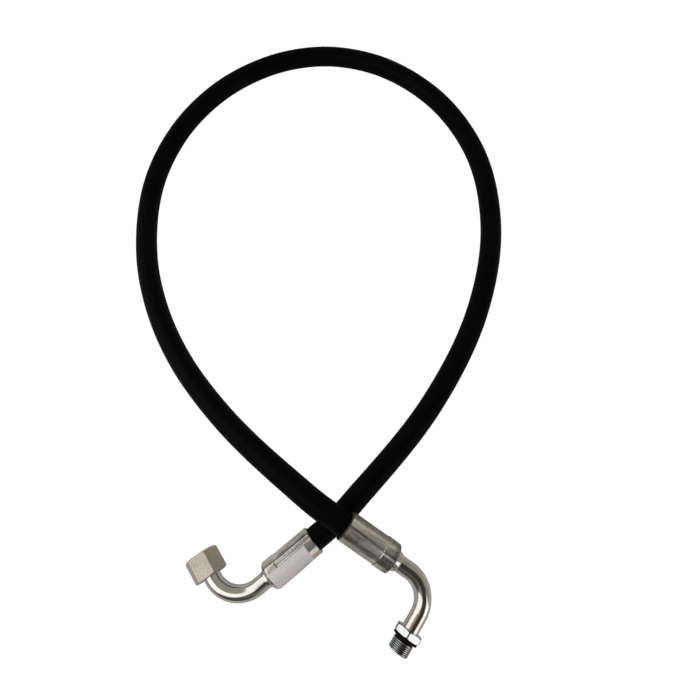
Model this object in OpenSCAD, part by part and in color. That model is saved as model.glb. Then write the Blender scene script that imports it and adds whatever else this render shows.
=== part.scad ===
// Hydraulic hose assembly: a two-wire-braid hose, DN12, with a crimped elbow of about
// 90 degrees at each end. One elbow carries a swivel nut over a 24 degree sealing cone,
// the other a male stud that turns on its elbow. It lies on the ground in one loop.
// Millimetres, +Z up, z = 0 is the ground.

/* [Hose] */
// Outer diameter of the cover
hose_od = 22; // [21.6:0.1:22.2]
// Bore of the inner tube
hose_bore = 13.2; // [13.1:0.05:13.4]
// Wall of the rubber inner tube
inner_tube_wall = 1.4; // [1.2:0.05:1.5]
// Thickness of one wire braid
braid_wall = 0.7; // [0.5:0.05:0.8]
// Thickness of the rubber between the braids
tie_wall = 0.3; // [0.2:0.05:0.4]

/* [Ferrule] */
// Diameter of the crimped part
ferrule_od = 26.5; // [25.6:0.1:26.8]
// Length of the ferrule
ferrule_len = 50; // [49:0.5:50.5]
// Diameter of the less crimped collar at the elbow's side
ferrule_collar_od = 27.4; // [27:0.1:27.6]
// Length of the less crimped collar
ferrule_collar_len = 13; // [12:0.5:14]
// Number of crimping dies, and so of ridges left between them
crimp_dies = 8; // [6:1:10]
// Width of a ridge between two dies
ridge_w = 1.8; // [1:0.1:2.4]
// Turn of the nut end's ridges on the ferrule, in degrees
nut_end_ridge_turn = 20; // [0:0.5:45]
// Turn of the stud end's ridges on the ferrule, in degrees
stud_end_ridge_turn = 1; // [0:0.5:45]
// Rounding of the nut end's ferrule where the elbow leaves it
nut_end_round = 4.4; // [3:0.1:4.8]
// Rounding of the stud end's ferrule where the elbow leaves it
stud_end_round = 0.8; // [0.6:0.1:3.4]

/* [Hose tail] */
// Bore through the tail
tail_bore = 9.5; // [8:0.1:10]
// Diameter over the barbs
barb_od = 12.6; // [12.2:0.05:12.6]
// Number of barbs
barb_count = 9; // [6:1:10]
// Diameter of the nut end's neck, beyond the ferrule
nut_end_neck_od = 16.4; // [16.2:0.1:18.6]
// Length of the nut end's neck
nut_end_neck_len = 2.6; // [2.2:0.1:4]
// Diameter of the stud end's neck, beyond the ferrule
stud_end_neck_od = 18.5; // [16.4:0.1:19.6]
// Length of the stud end's neck
stud_end_neck_len = 6; // [3:0.1:7]

/* [Elbow] */
// Angle that the nut end's elbow turns through, in degrees
nut_end_bend = 94; // [90:0.5:94.5]
// Angle that the stud end's elbow turns through, in degrees
stud_end_bend = 90; // [89:0.5:91]
// Outer diameter of the elbow tube
tube_od = 15; // [14.6:0.1:15]
// Wall of the elbow tube
tube_wall = 2; // [1.5:0.1:2.2]
// Radius of the nut end's bend on the tube's centreline
nut_end_bend_r = 28; // [27:0.5:28.5]
// Radius of the stud end's bend on the tube's centreline
stud_end_bend_r = 26; // [25:0.5:27]
// From the nut end's ferrule mouth to the point where its elbow's two axes meet
nut_end_corner = 90.8; // [90:0.1:92]
// From the stud end's ferrule mouth to the point where its elbow's two axes meet
stud_end_corner = 94; // [94:0.5:96]

/* [Swivel nut] */
// Width across flats
nut_af = 27; // [27:0.5:28]
// Length of the nut
nut_len = 21; // [20.5:0.1:21.5]
// Bore of the internal thread, M22 x 1.5
nut_thread_bore = 20.4; // [20.3:0.05:20.5]
// From the elbow's corner to the nut's back face
nut_back = 32.8; // [32.6:0.1:34]

/* [Sealing cone] */
// Largest diameter of the sealing cone
cone_od = 18.6; // [18.4:0.1:18.8]
// Full angle of the cone, in degrees
cone_angle = 24; // [22:0.5:25]

/* [Stud] */
// Nominal diameter of the male thread, M18 x 1.5
stud_thread_od = 17.8; // [17.7:0.05:18]
// Width across flats of the hexagon
stud_af = 22; // [22:0.5:24]
// Height of the hexagon
stud_hex_h = 6; // [5.8:0.1:6.2]
// Outer diameter of the seal ring
seal_od = 21.8; // [20.5:0.1:22]
// Thickness of the seal ring
seal_h = 2.4; // [2:0.1:2.6]
// Length from the seal ring to the end of the thread
stud_thread_len = 11.4; // [11:0.1:13]
// From the elbow's corner to the hexagon
stud_back = 38.6; // [38.4:0.1:38.8]

/* [Lay] */
// Middle of the nut end's ferrule mouth, from the left to the right
nut_end_x = 8; // [6:0.1:9]
// Middle of the nut end's ferrule mouth, from the front to the back
nut_end_y = 37.5; // [36:0.1:39]
// Heading of the nut end's ferrule away from the hose, in degrees
nut_end_yaw = -144.5; // [-146:0.5:-143]
// Middle of the stud end's ferrule mouth, from the left to the right
stud_end_x = 37.4; // [36:0.1:39]
// Middle of the stud end's ferrule mouth, from the front to the back
stud_end_y = 48.3; // [47:0.1:50]
// Heading of the stud end's ferrule away from the hose, in degrees
stud_end_yaw = -37.3; // [-39:0.1:-36]
// Slope down of the stud end's ferrule, in degrees
stud_end_pitch = 14.3; // [14.2:0.1:15]
// Turn of the stud's hexagon on its axis, in degrees
stud_turn = 18; // [0:0.5:59.5]

/* [Hidden] */

// Colours
rubber_black = [0.06, 0.06, 0.065];
liner_black = [0.12, 0.12, 0.13];
tie_grey = [0.22, 0.2, 0.2];
wire_brass = [0.72, 0.58, 0.32];
ferrule_steel = [0.66, 0.64, 0.61];
tube_steel = [0.82, 0.8, 0.78];
nut_zinc = [0.78, 0.75, 0.71];
seal_black = [0.03, 0.03, 0.03];
backup_white = [0.9, 0.9, 0.86];

// Smoothness of exact curved faces, and of the small chamfers' cones
round_fn = 64;

// Clearances: between bonded layers, in a running fit and round a moving part
bond_gap = 0.05;
run_gap = 0.08;
free_gap = 0.35;

// Where the hose and the tail sit in the ferrule, from the ferrule's mouth
hose_end_z = 42;
tail_tip_z = 3;
stop_collar_z = 42.2;
lock_groove_z = 45.2;
lock_groove_od = 16.2;
ferrule_bore = hose_od + 0.3;
tooth_pitch = 5;
tooth_depth = 0.5;
mouth_round = 0.8;
ridge_h = 0.2;
neck_start_z = ferrule_len + 0.1;
neck_rim_od = tube_od + 1;
neck_lean = 0.3;
socket_z = ferrule_len + 0.2;
socket_gap = 0.04;

// Straight legs of the elbow, measured on the outlet axis from its corner
tube_bore = tube_od - 2 * tube_wall;
cone_back = nut_back + 4.3;
cone_socket_depth = 5;
tube_end_nut = cone_back + cone_socket_depth;
tube_end_stud = 39.2;
leg_lap = 0.2;
leg_slack = 0.02;

// Sealing cone, from the elbow's corner
cone_shoulder = cone_back + 1.4;
cone_start = cone_back + 4.8;
cone_tip = cone_back + 12.4;
cone_tip_chamfer = 0.6;
cone_groove = cone_start + 2.2;
cone_groove_w = 2.2;
cone_groove_od = 12.6;
cone_ring_d = 2;
cone_bore = 10;

// Nut, from the elbow's corner
nut_seat = cone_back - 0.3;
nut_pilot_len = 3;
nut_mouth_chamfer = 0.9;
nut_corner_cut = 2.2;
nut_free_start = cone_tip + 0.4;
nut_deep_bore = 21.2;

// Stud and its swivel, from the elbow's corner
stud_hex_end = stud_back + stud_hex_h;
seal_end = stud_hex_end + seal_h;
stud_neck_od = 16.4;
stud_neck_len = 1;
thread_start = seal_end + stud_neck_len;
stud_end = seal_end + stud_thread_len;
thread_chamfer = 0.9;
stud_corner_cut = 1.2;
stud_mouth_od = 11;
journal_start = 44;
journal_end = 56;
journal_od = 12.4;
spigot_plug_z = 35;
spigot_bore = 8;
wire_z = 41.4;
wire_d = 1.5;
wire_gap_angle = 20;
ring_groove_z = 49;
ring_groove_w = 3.6;
ring_groove_od = 9.2;
swivel_ring_d = 1.54;
backup_w = 1.4;

// The route of the hose's centreline between the two ferrules, on the ground
// except where the stud end's strand climbs over the nut end's strand.
route = [
    [52, 75, 12], [127, 155, 11], [182, 245, 11], [212, 350, 11], [207, 450, 11],
    [167, 535, 11], [97, 595, 11], [42, 612, 11], [-8, 610, 11], [-78, 580, 11],
    [-128, 530, 11], [-163, 455, 11], [-168, 344, 13], [-147, 269, 21],
    [-116, 208, 29], [-76, 154, 35], [-7, 85, 40]
];
// Straight stretch of hose outside each mouth, sides of a hose layer, and the
// distance aimed at between two of its rings
exit_len = 20;
hose_sides = 12;
ring_gap = 62;

// Place and direction of each end: the nut end lies on a flat of its nut, the stud
// end on a corner of its hexagon and, where it crosses, on the other strand
nut_axis_h = nut_af / 2;
nut_end_mouth = [nut_end_x, nut_end_y, nut_axis_h + 0.2];
stud_axis_h = stud_af / sqrt(3);
stud_end_mouth = [
    stud_end_x, stud_end_y, stud_axis_h + stud_end_corner * sin(stud_end_pitch)
];
nut_end_heading = heading(nut_end_yaw, 0);
stud_end_heading = heading(stud_end_yaw, stud_end_pitch);

function heading(yaw, pitch) =
    [cos(yaw) * cos(pitch), sin(yaw) * cos(pitch), -sin(pitch)];
function unit(v) = v / norm(v);

// The hose's stations: cut end and exit at the nut end, the route, exit and cut end
stations = concat(
    [nut_end_mouth + hose_end_z * nut_end_heading,
     nut_end_mouth - exit_len * nut_end_heading],
    route,
    [stud_end_mouth - exit_len * stud_end_heading,
     stud_end_mouth + hose_end_z * stud_end_heading]
);
last_station = len(stations) - 1;
chords = [for (i = [0 : last_station - 1]) norm(stations[i + 1] - stations[i])];

// Direction of the hose at a station: straight in the ferrules, and elsewhere the
// mean of the two chords there, each weighted by the other's length
function slope(i) =
    i < 2 ? unit(stations[1] - stations[0]) :
    i > last_station - 2 ? unit(stations[last_station] - stations[last_station - 1]) :
    (unit(stations[i] - stations[i - 1]) * chords[i]
     + unit(stations[i + 1] - stations[i]) * chords[i - 1])
    / (chords[i - 1] + chords[i]);

// Cubic Hermite curve from station i to the next, and its direction
function bow(i, t) =
    (2 * pow(t, 3) - 3 * pow(t, 2) + 1) * stations[i]
    + (pow(t, 3) - 2 * pow(t, 2) + t) * chords[i] * slope(i)
    + (3 * pow(t, 2) - 2 * pow(t, 3)) * stations[i + 1]
    + (pow(t, 3) - pow(t, 2)) * chords[i] * slope(i + 1);
function bow_direction(i, t) = unit(
    (6 * pow(t, 2) - 6 * t) * (stations[i] - stations[i + 1])
    + (3 * pow(t, 2) - 4 * t + 1) * chords[i] * slope(i)
    + (3 * pow(t, 2) - 2 * t) * chords[i] * slope(i + 1)
);

// Rings of the hose as [station, share of the way to the next]
function span_rings(i) =
    i == 0 || i == last_station - 1 ? 1 : max(1, round(chords[i] / ring_gap));
rings = concat(
    [for (i = [0 : last_station - 1])
        let (n = span_rings(i))
        for (k = [0 : n - 1]) [i, k / n]],
    [[last_station - 1, 1]]
);
ring_centres = [
    for (q = rings)
        let (c = bow(q[0], q[1]))
        [c[0], c[1], max(c[2], hose_od / 2)]
];
ring_directions = [for (q = rings) bow_direction(q[0], q[1])];

// The points of radius r round ring i
function ring_points(i, r) =
    let (along = ring_directions[i], side = unit(cross(along, [0, 0, 1])),
         up = cross(side, along))
    [for (k = [0 : hose_sides - 1])
        let (a = 360 * k / hose_sides)
        ring_centres[i] + r * (cos(a) * side + sin(a) * up)];

// One bonded layer of the hose, swept along the whole route
module hose_layer(r_in, r_out) {
    n = len(rings);
    s = hose_sides;
    inner = n * s;
    points = concat(
        [for (i = [0 : n - 1]) each ring_points(i, r_out)],
        [for (i = [0 : n - 1]) each ring_points(i, r_in)]
    );
    walls = [
        for (i = [0 : n - 2], k = [0 : s - 1])
            let (a = i * s + k, b = i * s + (k + 1) % s, c = b + s, d = a + s)
            each [
                [a, b, c], [a, c, d],
                [inner + a, inner + c, inner + b], [inner + a, inner + d, inner + c]
            ]
    ];
    ends = [
        for (k = [0 : s - 1])
            let (a = k, b = (k + 1) % s, c = (n - 1) * s + a, d = (n - 1) * s + b)
            each [
                [a, inner + a, inner + b], [a, inner + b, b],
                [c, inner + d, inner + c], [c, d, inner + d]
            ]
    ];
    polyhedron(points = points, faces = concat(walls, ends), convexity = 10);
}

// Radii of the hose's layers, from the bore out
tube_layer_r = hose_bore / 2 + inner_tube_wall;
braid_1_r = tube_layer_r + bond_gap + braid_wall;
tie_r = braid_1_r + bond_gap + tie_wall;
braid_2_r = tie_r + bond_gap + braid_wall;

module hose_inner_tube() {
    color(liner_black) hose_layer(hose_bore / 2, tube_layer_r);
}

module hose_inner_braid() {
    color(wire_brass) hose_layer(tube_layer_r + bond_gap, braid_1_r);
}

module hose_tie_layer() {
    color(tie_grey) hose_layer(braid_1_r + bond_gap, tie_r);
}

module hose_outer_braid() {
    color(wire_brass) hose_layer(tie_r + bond_gap, braid_2_r);
}

module hose_cover() {
    color(rubber_black) hose_layer(braid_2_r + bond_gap, hose_od / 2);
}

// An end of the assembly: local z runs out along the ferrule from its mouth, and
// the elbow turns towards local -y.
module at_nut_end() {
    translate(nut_end_mouth)
        rotate([0, 90, nut_end_yaw])
            children();
}

module at_stud_end() {
    translate(stud_end_mouth)
        rotate([0, 0, stud_end_yaw])
            rotate([0, 90 + stud_end_pitch, 0])
                children();
}

// The elbow's outlet: z runs out along it from the corner
module at_outlet(corner, bend) {
    translate([0, 0, corner])
        rotate([bend, 0, 0])
            children();
}

module at_nut() {
    at_nut_end() at_outlet(nut_end_corner, nut_end_bend) children();
}

module at_stud() {
    at_stud_end() at_outlet(stud_end_corner, stud_end_bend) children();
}

// A turned piece from its half section, points as [radius, height]
module turned(section) {
    rotate_extrude($fn = round_fn) polygon(section);
}

// Ferrule: a sleeve with grip teeth inside, a lip that locks in the tail's groove
// and the ridges that the crimping dies leave
module ferrule(ridge_turn, end_round) {
    body_r = ferrule_od / 2;
    collar_r = ferrule_collar_od / 2;
    collar_z = ferrule_len - ferrule_collar_len;
    bore_r = ferrule_bore / 2;
    tooth_count = floor((hose_end_z - tooth_pitch) / tooth_pitch);
    lip_z = lock_groove_z + 0.3;
    lip_r = lock_groove_od / 2 + 0.1;
    bore_end_z = hose_end_z + 0.2;
    difference() {
        union() {
            turned(concat(
                [[lip_r, lip_z], [bore_r, lip_z], [bore_r, 0],
                 [body_r - mouth_round, 0], [body_r, mouth_round],
                 [body_r, collar_z - 0.4], [collar_r, collar_z]],
                [for (a = [0 : 22.5 : 90])
                    [collar_r - end_round * (1 - cos(a)),
                     ferrule_len - end_round * (1 - sin(a))]],
                [[lip_r, ferrule_len]]
            ));
            for (k = [0 : crimp_dies - 1])
                rotate([0, 0, ridge_turn + 360 * k / crimp_dies]) {
                    ridge(body_r, mouth_round + 0.5, collar_z - 0.7);
                    ridge(collar_r, collar_z + 0.6, ferrule_len - max(end_round, 3.8) - 0.5);
                }
        }
        for (k = [1 : tooth_count])
            translate([0, 0, k * tooth_pitch])
                turned([
                    [bore_r - 0.5, 0], [bore_r + tooth_depth, 0],
                    [bore_r + tooth_depth, 1.6], [bore_r, 3], [bore_r - 0.5, 3]
                ]);
        translate([0, 0, bore_end_z])
            cylinder(r = bore_r + 0.2, h = lip_z - bore_end_z, $fn = round_fn);
    }
}

// One ridge on a face of radius r, from one height to another
module ridge(r, from, to) {
    translate([r - 0.5, -ridge_w / 2, from])
        cube([0.5 + ridge_h, ridge_w, to - from]);
}

// Hose tail: barbs for the inner tube, a stop collar for the hose's end, the lock
// groove, and a slightly tapered neck with a socket for the elbow tube
module hose_tail(neck_od, neck_len) {
    barb_r = barb_od / 2;
    root_r = barb_r - 0.4;
    pitch = (hose_end_z - tail_tip_z - 4) / barb_count;
    groove_r = lock_groove_od / 2;
    neck_r = neck_od / 2;
    rim_r = neck_rim_od / 2;
    neck_end_z = neck_start_z + neck_len;
    stop_r = groove_r + 2.2;
    lean = neck_lean * (neck_r - rim_r);
    barbs = [
        for (k = [0 : barb_count - 1])
            let (z = tail_tip_z + 2 + k * pitch)
            each [[root_r, z], [barb_r, z + 0.72 * pitch], [barb_r, z + 0.88 * pitch],
                  [root_r, z + pitch - 0.05]]
    ];
    turned(concat(
        [[tail_bore / 2, tail_tip_z], [root_r - 0.5, tail_tip_z]],
        barbs,
        [[root_r, stop_collar_z], [stop_r, stop_collar_z], [stop_r, lock_groove_z],
         [groove_r, lock_groove_z], [groove_r, neck_start_z],
         [neck_r + 0.4 * lean, neck_start_z],
         [neck_r - lean, neck_end_z - neck_r + rim_r], [rim_r, neck_end_z],
         [tube_od / 2 + socket_gap, neck_end_z], [tube_od / 2 + socket_gap, socket_z],
         [tail_bore / 2, socket_z]]
    ));
}

// Elbow tube: from the tail's socket, round the bend, out to a given distance from
// the corner. Each straight leg begins just inside the wall of the bend.
module elbow_tube(corner, bend, bend_r, outlet_end) {
    bend_leg = bend_r * tan(bend / 2);
    bend_z = corner - bend_leg;
    translate([0, 0, socket_z]) tube_leg(bend_z + leg_lap - socket_z);
    translate([0, -bend_r, bend_z])
        rotate([90, 0, 90])
            rotate_extrude(angle = bend, $fn = round_fn)
                translate([bend_r, 0])
                    difference() {
                        circle(d = tube_od, $fn = round_fn);
                        circle(d = tube_bore, $fn = round_fn);
                    }
    at_outlet(corner, bend)
        translate([0, 0, bend_leg - leg_lap])
            tube_leg(outlet_end - bend_leg + leg_lap);
}

module tube_leg(length) {
    difference() {
        cylinder(d = tube_od - 2 * leg_slack, h = length, $fn = round_fn);
        translate([0, 0, -1])
            cylinder(d = tube_bore + 2 * leg_slack, h = length + 2, $fn = round_fn);
    }
}

// Hexagon with both ends turned to a 30 degree chamfer
module hexagon(af, height, corner_cut) {
    corner_r = af / sqrt(3);
    drop = corner_cut * tan(30);
    intersection() {
        cylinder(r = corner_r, h = height, $fn = 6);
        turned([
            [0, 0], [corner_r - corner_cut, 0], [corner_r, drop],
            [corner_r, height - drop], [corner_r - corner_cut, height], [0, height]
        ]);
    }
}

module nut_end_ferrule() {
    color(ferrule_steel) at_nut_end() ferrule(nut_end_ridge_turn, nut_end_round);
}

module nut_end_hose_tail() {
    color(tube_steel) at_nut_end() hose_tail(nut_end_neck_od, nut_end_neck_len);
}

module nut_end_elbow_tube() {
    color(tube_steel) at_nut_end()
        elbow_tube(nut_end_corner, nut_end_bend, nut_end_bend_r, tube_end_nut);
}

// Sealing cone: a shoulder at 45 degrees that the nut pulls on, and the taper that
// seats in the mating part, with its O-ring groove
module sealing_cone() {
    big_r = cone_od / 2;
    groove_r = cone_groove_od / 2;
    groove_end = cone_groove + cone_groove_w;
    rim_r = big_r - (cone_shoulder - cone_back);
    color(tube_steel) at_nut()
        turned([
            [tube_od / 2 + socket_gap, cone_back], [rim_r, cone_back],
            [big_r, cone_shoulder], [big_r, cone_start],
            [taper_r(cone_groove), cone_groove], [groove_r, cone_groove],
            [groove_r, groove_end], [taper_r(groove_end), groove_end],
            [taper_r(cone_tip - cone_tip_chamfer), cone_tip - cone_tip_chamfer],
            [taper_r(cone_tip) - cone_tip_chamfer, cone_tip],
            [cone_bore / 2, cone_tip], [cone_bore / 2, tube_end_nut],
            [tube_od / 2 + socket_gap, tube_end_nut]
        ]);
}

// Radius of the sealing taper at a distance from the corner
function taper_r(t) = cone_od / 2 - (t - cone_start) * tan(cone_angle / 2);

module o_ring(section_d, floor_d) {
    rotate_extrude($fn = round_fn)
        translate([floor_d / 2 + bond_gap + section_d / 2, 0])
            circle(d = section_d, $fn = 32);
}

module cone_o_ring() {
    color(seal_black) at_nut()
        translate([0, 0, cone_groove + cone_groove_w / 2])
            o_ring(cone_ring_d, cone_groove_od);
}

// Swivel nut: it pulls on the cone's shoulder. Ahead of the cone's tip the thread is
// a bore of its minor diameter, and round the cone one of its mean diameter.
module swivel_nut() {
    thread_r = nut_thread_bore / 2;
    deep_r = nut_deep_bore / 2;
    back_r = tube_od / 2 + free_gap;
    pilot_r = cone_od / 2 + run_gap;
    seat_end = nut_seat + pilot_r - back_r;
    pilot_end = seat_end + nut_pilot_len;
    nut_end = nut_back + nut_len;
    color(nut_zinc) at_nut()
        difference() {
            translate([0, 0, nut_back])
                rotate([0, 0, 30])
                    hexagon(nut_af, nut_len, nut_corner_cut);
            turned([
                [0, nut_back - 1], [back_r, nut_back - 1], [back_r, nut_seat],
                [pilot_r, seat_end], [pilot_r, pilot_end], [deep_r, pilot_end],
                [deep_r, nut_free_start], [thread_r, nut_free_start],
                [thread_r, nut_end - nut_mouth_chamfer],
                [thread_r + nut_mouth_chamfer + 0.3, nut_end + 0.3], [0, nut_end + 0.3]
            ]);
        }
}

module stud_end_ferrule() {
    color(ferrule_steel) at_stud_end() ferrule(stud_end_ridge_turn, stud_end_round);
}

module stud_end_hose_tail() {
    color(tube_steel) at_stud_end() hose_tail(stud_end_neck_od, stud_end_neck_len);
}

module stud_end_elbow_tube() {
    color(tube_steel) at_stud_end()
        elbow_tube(stud_end_corner, stud_end_bend, stud_end_bend_r, tube_end_stud);
}

// Swivel spigot: plugged into the elbow tube, it carries the half groove of the
// retaining wire and, on its slimmer journal, the groove of the swivel's seal
module swivel_spigot() {
    body_r = tube_od / 2;
    journal_r = journal_od / 2;
    groove_r = ring_groove_od / 2;
    groove_end = ring_groove_z + ring_groove_w;
    color(tube_steel) at_stud()
        difference() {
            turned([
                [spigot_bore / 2, spigot_plug_z], [tube_bore / 2 - socket_gap, spigot_plug_z],
                [tube_bore / 2 - socket_gap, tube_end_stud], [body_r, tube_end_stud],
                [body_r, journal_start], [journal_r, journal_start],
                [journal_r, ring_groove_z], [groove_r, ring_groove_z],
                [groove_r, groove_end], [journal_r, groove_end],
                [journal_r, journal_end - 0.6], [journal_r - 0.6, journal_end],
                [spigot_bore / 2, journal_end]
            ]);
            translate([0, 0, wire_z]) wire_groove();
        }
}

// The round groove of the retaining wire, shared by the spigot and the stud
module wire_groove() {
    rotate_extrude($fn = round_fn)
        translate([tube_od / 2 + run_gap / 2, 0])
            circle(d = wire_d + 0.2, $fn = 32);
}

module swivel_o_ring() {
    color(seal_black) at_stud()
        translate([0, 0, ring_groove_z + ring_groove_w - swivel_ring_d / 2 - 0.3])
            o_ring(swivel_ring_d, ring_groove_od);
}

module swivel_backup_ring() {
    inner_r = ring_groove_od / 2 + bond_gap;
    outer_r = journal_od / 2 - bond_gap;
    color(backup_white) at_stud()
        translate([0, 0, ring_groove_z + bond_gap])
            turned([[inner_r, 0], [outer_r, 0], [outer_r, backup_w], [inner_r, backup_w]]);
}

module retaining_wire() {
    color(tube_steel) at_stud()
        translate([0, 0, wire_z])
            rotate_extrude(angle = 360 - wire_gap_angle, $fn = round_fn)
                translate([tube_od / 2 + run_gap / 2, 0])
                    circle(d = wire_d, $fn = 32);
}

// Stud body: hexagon, neck for the seal ring and male thread; inside, the bearing
// bores for the spigot and the other half of the wire's groove
module stud_body() {
    thread_r = stud_thread_od / 2;
    neck_r = stud_neck_od / 2;
    bearing_r = tube_od / 2 + run_gap;
    journal_r = journal_od / 2 + run_gap;
    step_z = journal_start + 0.3;
    journal_bore_end = journal_end + 0.3;
    color(tube_steel) at_stud()
        difference() {
            union() {
                translate([0, 0, stud_back])
                    rotate([0, 0, stud_turn])
                        hexagon(stud_af, stud_hex_h, stud_corner_cut);
                turned([
                    [0, stud_hex_end - 1], [neck_r, stud_hex_end - 1], [neck_r, thread_start],
                    [thread_r, thread_start], [thread_r, stud_end - thread_chamfer],
                    [thread_r - thread_chamfer, stud_end], [0, stud_end]
                ]);
            }
            turned([
                [0, stud_back - 1], [bearing_r, stud_back - 1], [bearing_r, step_z],
                [journal_r, step_z], [journal_r, journal_bore_end],
                [stud_mouth_od / 2, journal_bore_end], [stud_mouth_od / 2, stud_end + 1],
                [0, stud_end + 1]
            ]);
            translate([0, 0, wire_z]) wire_groove();
        }
}

module stud_seal_ring() {
    inner_r = stud_neck_od / 2 + bond_gap;
    outer_r = seal_od / 2;
    face_r = stud_thread_od / 2 + bond_gap;
    edge = 0.5;
    color(seal_black) at_stud()
        translate([0, 0, stud_hex_end])
            turned([
                [inner_r, 0], [outer_r - edge, 0], [outer_r, edge],
                [outer_r, seal_h - edge], [outer_r - edge, seal_h], [face_r, seal_h],
                [inner_r, seal_h - edge]
            ]);
}

hose_inner_tube();
hose_inner_braid();
hose_tie_layer();
hose_outer_braid();
hose_cover();
nut_end_ferrule();
nut_end_hose_tail();
nut_end_elbow_tube();
sealing_cone();
cone_o_ring();
swivel_nut();
stud_end_ferrule();
stud_end_hose_tail();
stud_end_elbow_tube();
swivel_spigot();
swivel_o_ring();
swivel_backup_ring();
retaining_wire();
stud_body();
stud_seal_ring();
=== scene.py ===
"""Hydraulic hose assembly: the looks that Blender gives to the solids of part.scad.

Metres, +Z up, and z = 0 is the ground it lies on. A piece's section is given in mm, as
(radius, height) round the piece's own z. Angles are in degrees."""
import math

import bmesh
import bpy
from mathutils import Matrix, Vector


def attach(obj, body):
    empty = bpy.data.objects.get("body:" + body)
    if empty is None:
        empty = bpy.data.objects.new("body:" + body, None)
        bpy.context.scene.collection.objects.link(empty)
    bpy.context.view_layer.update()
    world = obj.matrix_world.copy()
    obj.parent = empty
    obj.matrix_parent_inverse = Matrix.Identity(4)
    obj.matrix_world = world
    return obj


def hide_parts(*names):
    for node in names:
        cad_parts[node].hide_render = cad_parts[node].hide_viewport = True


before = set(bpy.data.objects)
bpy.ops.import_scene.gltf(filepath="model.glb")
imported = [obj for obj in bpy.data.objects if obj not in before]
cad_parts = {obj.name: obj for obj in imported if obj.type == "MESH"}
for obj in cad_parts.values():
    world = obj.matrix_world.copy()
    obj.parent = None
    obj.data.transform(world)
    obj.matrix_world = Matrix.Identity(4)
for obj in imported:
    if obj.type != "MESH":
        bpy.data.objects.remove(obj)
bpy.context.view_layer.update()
MM = 0.001
ROOT, NUT, STUD = "hose_and_elbows", "swivel_nut", "swivel_stud"    # the bodies

# ---------------------------------------------------------------- dimensions, mm
HOSE_R = 11.0
HOSE_STEP = 6.0     # about the length between two rings of the hose's mesh
LAYERS = {          # inner and outer radius, sides of the mesh, and slot
    "hose_cover": (9.9, 11.0, 48, "cover_rubber"),
    "hose_outer_braid": (9.15, 9.85, 24, "braid_wire"),
    "hose_tie_layer": (8.8, 9.1, 24, "tie_rubber"),
    "hose_inner_braid": (8.05, 8.75, 24, "braid_wire"),
    "hose_inner_tube": (6.6, 8.0, 24, "liner_rubber"),
}
FERRULE_LEN = 50.0
HOSE_END = 42.0     # how far the hose reaches into a ferrule
EXIT = 20.0         # how far it runs straight out of a ferrule's mouth
BODY_R, COLLAR_R, COLLAR_Z = 13.25, 13.7, 37.0
LIP_R = 8.2         # the lip that sits in the tail's lock groove
LABEL_Z, LABEL_END_Z = 8.5, 47.0
TUBE_R, TUBE_BORE_R = 7.5, 5.5
SOCKET_R, SOCKET_Z = TUBE_R + 0.04, 50.2
NUT_END = dict(
    mouth=(8.0, 37.5, 13.7), yaw=-144.5, pitch=0.0, corner=90.8, outlet=42.1,
    bend=94.0, bend_r=28.0, round=4.4, ridge_turn=20.0, neck_r=8.2, neck_len=2.6,
    label=(88.0, 185.5),
)
STUD_END = dict(    # its label has no width: there is none
    mouth=(37.4, 48.3, 35.9196), yaw=-37.3, pitch=14.3, corner=94.0, outlet=39.2,
    bend=90.0, bend_r=26.0, round=0.8, ridge_turn=1.0, neck_r=9.25, neck_len=6.0,
    label=(0.0, 0.0),
)
CHAMFER_SLOPE = math.tan(math.radians(30))
NUT_BACK, NUT_LEN, NUT_AF, NUT_TURN = 32.8, 21.0, 27.0, 30.0
CONE_BACK = NUT_BACK + 4.3
STUD_BACK, STUD_HEX_H, STUD_AF, STUD_TURN, STUD_CUT = 38.6, 6.0, 22.0, 18.0, 1.4
SEAL_H, SEAL_R, THREAD_LEN = 2.4, 10.9, 11.4
THREAD_PITCH, THREAD_CREST_R, THREAD_ROOT_R = 1.5, 8.9, 8.0
SIDES, HEX_SIDES, FERRULE_SIDES = 96, 180, 360      # of a round mesh
ROUTE = [           # what the hose's centreline passes through, from the nut's end
    (52, 75, 12), (127, 155, 11), (182, 245, 11), (212, 350, 11), (207, 450, 11),
    (167, 535, 11), (97, 595, 11), (42, 612, 11), (-8, 610, 11), (-78, 580, 11),
    (-128, 530, 11), (-163, 455, 11), (-168, 344, 13), (-147, 269, 21),
    (-116, 208, 29), (-76, 154, 35), (-7, 85, 40),
]


def end_frame(end):
    """Local z runs out along the ferrule from its mouth; the elbow turns to local -y."""
    return (
        Matrix.Translation(Vector(end["mouth"]) * MM)
        @ Matrix.Rotation(math.radians(end["yaw"]), 4, "Z")
        @ Matrix.Rotation(math.radians(90 + end["pitch"]), 4, "Y")
    )


def outlet_frame(end):
    """Local z runs out along the outlet from the elbow's corner."""
    return (
        end_frame(end)
        @ Matrix.Translation((0, 0, end["corner"] * MM))
        @ Matrix.Rotation(math.radians(end["bend"]), 4, "X")
    )


def heading(end):
    """The direction out along a ferrule, away from the hose."""
    return (end_frame(end).to_3x3() @ Vector((0, 0, 1))).normalized()


# ---------------------------------------------------------------- the camera
def make_camera():
    """The camera as it was fitted to the photograph."""
    place = (0.0606, 0.0549, 0.4768)
    forward = Vector((-0.0218, 0.3238, -0.9459)).normalized()
    right = Vector((0.9976, -0.0555, -0.0420)).normalized()
    up = right.cross(forward).normalized()
    right = forward.cross(up).normalized()
    data = bpy.data.cameras.new("camera")
    data.lens, data.sensor_width = 25.0, 36.0
    data.clip_start, data.clip_end = 0.01, 20.0
    camera = bpy.data.objects.new("camera", data)
    turn = Matrix((right, up, -forward)).transposed().to_4x4()
    camera.matrix_world = Matrix.Translation(place) @ turn
    bpy.context.scene.collection.objects.link(camera)
    bpy.context.scene.camera = camera


make_camera()


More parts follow.
